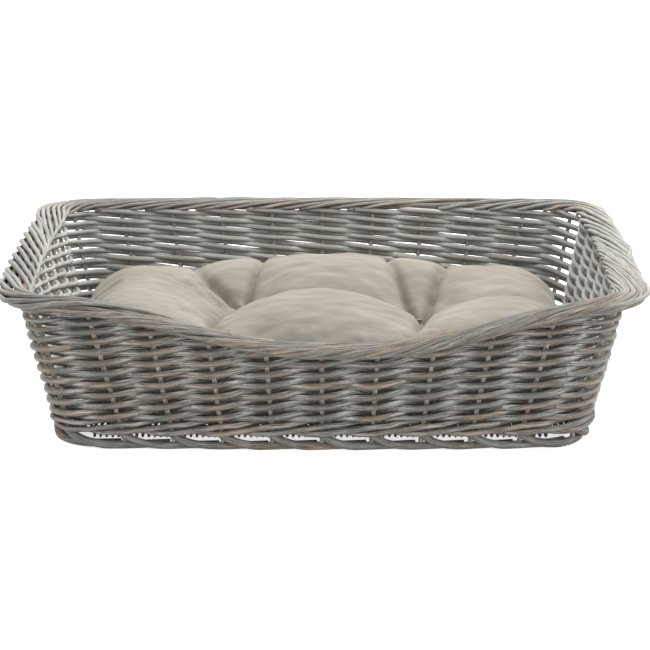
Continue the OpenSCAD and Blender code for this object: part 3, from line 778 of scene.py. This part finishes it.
def cushion_shape():
    """Points and triangles of the sewn cushion, the count of its top's points, and which are the seam's."""
    draw = np.random.default_rng(72)
    straight_x, straight_y = 2 * (CUSHION_A - CUSHION_CORNER), 2 * (CUSHION_B - CUSHION_CORNER)
    arc = CUSHION_CORNER * math.pi / 2
    ring = []
    for quarter, straight in enumerate((straight_y, straight_x, straight_y, straight_x)):
        turn = quarter * math.pi / 2
        away, half = ((CUSHION_A, straight_y / 2), (CUSHION_B, straight_x / 2))[quarter % 2]
        forward = np.array([math.cos(turn), math.sin(turn)])
        left = np.array([-forward[1], forward[0]])
        count = round(straight / MESH_PITCH)
        for i in range(count):
            ring.append(forward * away + left * (-half + straight * i / count))
        count = round(arc / MESH_PITCH)
        for i in range(count):
            a = i / count * math.pi / 2
            ring.append(forward * (away - CUSHION_CORNER + CUSHION_CORNER * math.cos(a))
                        + left * (half + CUSHION_CORNER * math.sin(a)))
    ring = np.array(ring)
    rows = int(CUSHION_B / (MESH_PITCH * MESH_ROW)) + 1
    lattice = [(c * MESH_PITCH + (r % 2) * MESH_PITCH / 2, r * MESH_PITCH * MESH_ROW)
               for r in range(-rows, rows + 1) for c in range(-MESH_COLUMNS, MESH_COLUMNS + 1)]
    lattice = np.array(lattice) + draw.uniform(-0.04, 0.04, (len(lattice), 2)) * MESH_PITCH
    lattice = lattice[inside_edge(lattice[:, 0], lattice[:, 1]) > 0.6 * MESH_PITCH]
    flat = [Vector(v) for v in ring] + [Vector(v) for v in lattice]
    edges = [(i, (i + 1) % len(ring)) for i in range(len(ring))]
    out, _, faces, _, _, _ = delaunay_2d_cdt(flat, edges, [], 1, 1e-7, False)
    out = np.array([tuple(v) for v in out])
    x, y = out[:, 0], out[:, 1]
    inside = inside_edge(x, y)
    on_seam = inside < 0.1 * MESH_PITCH
    # The sides of a sewn cushion pull in between its corners.
    pull_x = 1 - SEAM_PULL[0] * (1 - (y / CUSHION_B) ** 2)
    pull_y = 1 - SEAM_PULL[1] * (1 - (x / CUSHION_A) ** 2)
    wave = SEAM_WAVE * (np.sin(x * 74 + 1) * np.sin(y * 61 + 2) + np.sin(x * 139 - y * 118))
    wave = wave * np.exp(-inside / (15 * MM))
    top = SEAM_Z + edge_rise(inside, TOP_EDGE, 2.1) * cushion_top(x, y) + wave
    low = SEAM_Z - edge_rise(inside, LOW_EDGE) * (SEAM_Z - FLOOR_Z) + wave
    px, py = x * pull_x, y * pull_y + CUSHION_Y
    number = np.where(on_seam, np.arange(len(out)), len(out) + np.cumsum(~on_seam) - 1)
    points = np.concatenate([np.stack([px, py, top], -1), np.stack([px, py, low], -1)[~on_seam]])
    triangles = [list(f) for f in faces] + [[int(number[i]) for i in reversed(f)] for f in faces]
    return points, triangles, len(out), on_seam


def simulate(piece, points, held):
    """Fills the cushion with air, so that its cloth creases between the held points."""
    group = piece.vertex_groups.new(name="held")
    for i, weight in enumerate(held):
        if weight > 0:
            group.add([i], float(weight), "REPLACE")
    cloth = piece.modifiers.new("cloth", "CLOTH")
    c = cloth.settings
    c.quality = 5
    c.mass = 0.25
    c.tension_stiffness = c.compression_stiffness = 12
    c.shear_stiffness = 4
    c.bending_stiffness = 0.25
    c.tension_damping = c.compression_damping = c.shear_damping = 8
    c.use_pressure = True
    c.uniform_pressure_force = PRESSURE
    c.vertex_group_mass = "held"
    c.pin_stiffness = 8
    c.shrink_min = -0.02
    c.effector_weights.gravity = 0
    cloth.collision_settings.use_collision = False
    scene = bpy.context.scene
    scene.frame_start, scene.frame_end = 1, FRAMES
    cloth.point_cache.frame_start, cloth.point_cache.frame_end = 1, FRAMES
    for step in range(1, FRAMES + 1):
        scene.frame_set(step)
    graph = bpy.context.evaluated_depsgraph_get()
    settled = piece.evaluated_get(graph).data
    moved = np.empty(len(points) * 3)
    settled.vertices.foreach_get("co", moved)
    moved = moved.reshape(-1, 3)
    piece.modifiers.clear()
    piece.vertex_groups.clear()
    scene.frame_set(1)
    return moved


points, triangles, top_count, on_seam = cushion_shape()
cushion_mesh = bpy.data.meshes.new("cushion_cover")
cushion_mesh.from_pydata(points.tolist(), [], triangles)
VELOUR = velour("velour")
cushion = place("cushion_cover", cushion_mesh, VELOUR,
                ["cushion_cover_top", "cushion_cover_base", "cushion_filling"], "cushion")
near = [np.hypot(points[:, 0] - t.x, points[:, 1] - t.y) for t in TUFTS]
held = np.clip(1.6 - np.minimum(*near) / TUFT_HELD, 0, 1)
held[top_count:] = 0
held[:top_count][on_seam] = SEAM_HELD
floor_part = points[:, 2] < FLOOR_Z + 4 * MM
held[floor_part] = 1
moved = simulate(cushion, points, held)
step = moved - points
size = np.linalg.norm(step, axis=1, keepdims=True)
step *= MOVE_CAP * np.tanh(size / MOVE_CAP) / np.maximum(size, 1e-9)
points = points + step
fold_x, fold_y = points[:top_count, 0], points[:top_count, 1] - CUSHION_Y
fold_depth = folds(fold_x, fold_y) * edge_rise(inside_edge(fold_x, fold_y), FOLD_EDGE)
points[:top_count, 2] -= fold_depth
# Painted shade: how deep each crease is, for the velour to darken it by.
painted_crease_shade = np.zeros(len(points))
painted_crease_shade[:top_count] = np.clip(fold_depth / CREASE_DEPTH - 0.15, 0, 1)
cushion_mesh.attributes.new("painted_crease_shade", "FLOAT", "POINT").data.foreach_set("value", painted_crease_shade)
points[:, 0] = np.clip(points[:, 0], -CUSHION_A, CUSHION_A)
points[:, 1] = np.clip(points[:, 1], CUSHION_Y - CUSHION_B, CUSHION_Y + CUSHION_B)
points[:, 2] = np.maximum(points[:, 2], FLOOR_Z + 0.3 * MM)
cushion_mesh.vertices.foreach_set("co", points.ravel())
cushion_mesh.polygons.foreach_set("use_smooth", [True] * len(cushion_mesh.polygons))
cushion_mesh.update()
finer = cushion.modifiers.new("finer", "SUBSURF")
finer.levels = finer.render_levels = 1
graph = bpy.context.evaluated_depsgraph_get()
fine_mesh = bpy.data.meshes.new_from_object(cushion.evaluated_get(graph))
cushion.modifiers.clear()
cushion.data = fine_mesh
fine_mesh.name = "cushion_cover"

# ---------------------------------------------------------------- CAD nodes that stay

for node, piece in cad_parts.items():
    if node.endswith("_stakes") or node.endswith("_post"):
        piece.data.materials.clear()
        piece.data.materials.append(PALE_STAKE)
    elif node.startswith("base_stick"):
        piece.data.materials.clear()
        piece.data.materials.append(BROWN_STICK)
    elif node.startswith("cushion_tuft"):
        piece.data.materials.clear()
        piece.data.materials.append(THREAD)

# ---------------------------------------------------------------- camera, light and floor

SIGHT = math.radians(13.2)  # elevation of the eye over the middle of the rim
PITCH = math.radians(15.12)  # how far the camera looks down
DISTANCE = 3.168
EYE_RIGHT = 0.0037  # the eye is a little right of the middle
LENS, SENSOR = 135.46, 36  # mm
rim_middle = Vector((0, MIDDLE_Y, HEIGHT))
eye = rim_middle + DISTANCE * Vector((0, -math.cos(SIGHT), math.sin(SIGHT))) + Vector((EYE_RIGHT, 0, 0))
camera_data = bpy.data.cameras.new("camera")
camera_data.lens = LENS
camera_data.sensor_width = SENSOR
camera = bpy.data.objects.new("camera", camera_data)
camera.location = eye
camera.rotation_euler = (math.pi / 2 - PITCH, 0, 0)
bpy.context.scene.collection.objects.link(camera)
bpy.context.scene.camera = camera


def softbox(name, at, target, size, power):
    """A soft rectangular light that faces a point."""
    light = bpy.data.lights.new(name, "AREA")
    light.shape = "RECTANGLE"
    light.size, light.size_y = size
    light.energy = power
    box = bpy.data.objects.new(name, light)
    box.location = at
    box.rotation_euler = (Vector(target) - Vector(at)).to_track_quat("-Z", "Y").to_euler()
    bpy.context.scene.collection.objects.link(box)


softbox("top_light", (0.45, 0.8, 2.0), (0, 0, 0.1), (1.6, 1.3), 66)
softbox("front_light", (2.1, -2.1, 1.3), (0, 0, 0.1), (1.8, 1.2), 16)

world = bpy.data.worlds.new("studio")
world.use_nodes = True
world.node_tree.nodes["Background"].inputs["Color"].default_value = (1, 1, 1, 1)
world.node_tree.nodes["Background"].inputs["Strength"].default_value = 1.0
bpy.context.scene.world = world
bpy.context.scene.view_settings.view_transform = "Standard"

FLOOR = 9  # half the floor's side
floor_mesh = bpy.data.meshes.new("floor")
floor_corners = [(-FLOOR, -FLOOR, 0), (FLOOR, -FLOOR, 0), (FLOOR, FLOOR, 0), (-FLOOR, FLOOR, 0)]
floor_mesh.from_pydata(floor_corners, [], [(0, 1, 2, 3)])
floor = bpy.data.objects.new("floor", floor_mesh)
bpy.context.scene.collection.objects.link(floor)
paper = Nodes("floor_paper")
paper.shader.inputs["Base Color"].default_value = (0.8, 0.8, 0.8, 1)
paper.shader.inputs["Emission Color"].default_value = (1, 1, 1, 1)
paper.shader.inputs["Emission Strength"].default_value = 0.7
paper.shader.inputs["Roughness"].default_value = 0.9
paper.shader.inputs["Specular IOR Level"].default_value = 0.1
floor_mesh.materials.append(paper.material)
